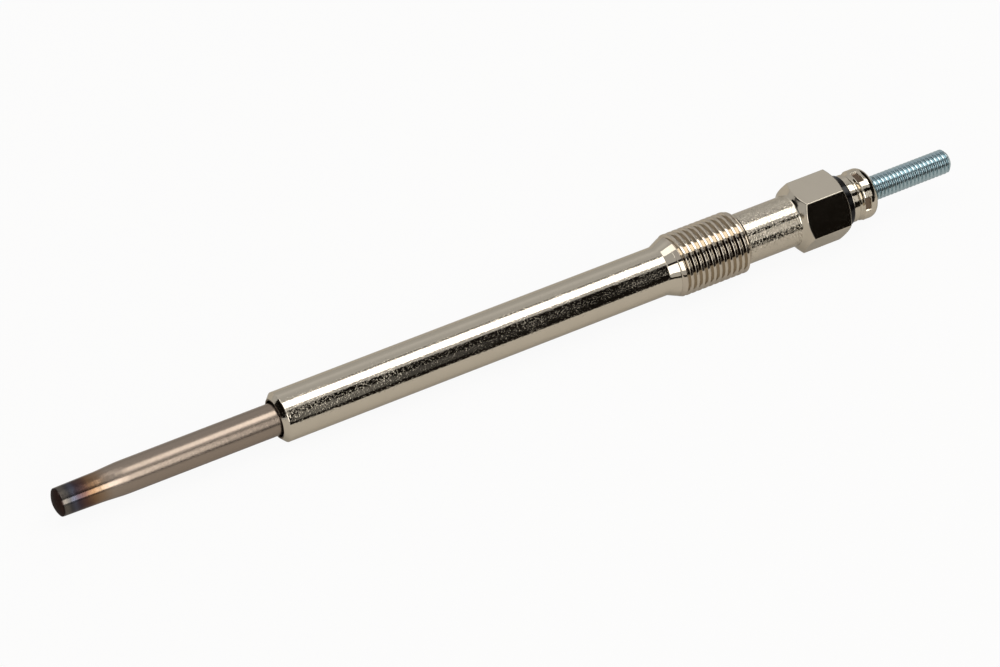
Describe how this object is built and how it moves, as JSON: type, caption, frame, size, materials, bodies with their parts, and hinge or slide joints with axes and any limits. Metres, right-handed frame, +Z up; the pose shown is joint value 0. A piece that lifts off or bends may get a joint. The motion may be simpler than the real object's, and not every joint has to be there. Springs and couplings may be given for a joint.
{
  "type": "diesel glow plug",
  "caption": "Sheathed diesel glow plug: slim heater tube with coils inside, long turned body with thread and hexagon, insulated terminal stud behind a crimped collar.",
  "frame": {"origin": "on the surface that the plug lies on, below the middle of its length", "axes": "+X along the plug from the glowing tip to the terminal stud, +Z up; the plug lies on the barrel's front rim and the thread's front edge, so its axis rises 0.9 degrees towards +X"},
  "size_m": [0.153, 0.0116, 0.0105],
  "materials": {
    "heater_alloy": "satin, with temper colours at the tip",
    "coil_wire": "drawn wire",
    "packed_powder": "packed powder, matt",
    "seal_rubber": "matt",
    "nickel_plate": "bright nickel plate, finely scratched",
    "zinc_plate": "bluish zinc plate",
    "black_insulator": "moulded, half gloss"
  },
  "bodies": {
    "root": {"glow_tube": "heater_alloy", "heating_coil": "coil_wire", "control_coil": "coil_wire", "insulating_powder": "packed_powder", "tube_seal": "seal_rubber", "plug_body": "nickel_plate", "connecting_pin": "zinc_plate", "body_seal": "seal_rubber", "insulating_washer": "black_insulator", "crimp_collar": "nickel_plate"}
  },
  "joints": []
}
